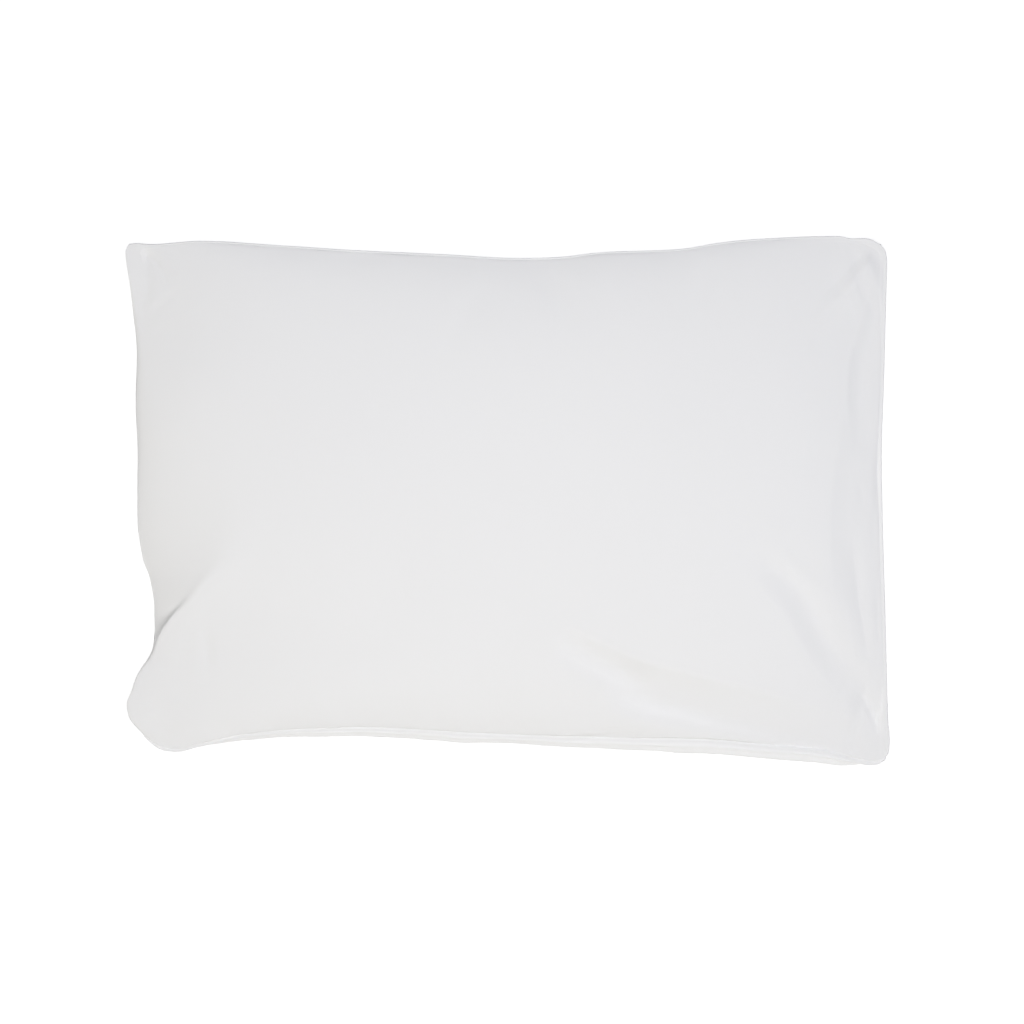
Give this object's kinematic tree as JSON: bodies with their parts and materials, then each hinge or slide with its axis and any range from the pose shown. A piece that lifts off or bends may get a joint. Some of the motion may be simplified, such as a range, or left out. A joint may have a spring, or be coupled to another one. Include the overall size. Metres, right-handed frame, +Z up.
{
  "type": "filled pillowcase",
  "caption": "Plain white cotton pillowcase with its pillow inside, lying on its back, with a soft crown, drawn-in sides, thin sewn corners and a tuck at the open end.",
  "frame": {"origin": "middle of the filled case's outline, on the surface that its back rests on", "axes": "+X along the case's length to its closed end, +Y across its width, +Z up out of its face"},
  "size_m": [0.724, 0.5034, 0.1537],
  "materials": {
    "white_cotton": "matte plain-weave cotton, washed, not pressed"
  },
  "bodies": {
    "root": {"filled_case": "white_cotton"}
  },
  "joints": []
}
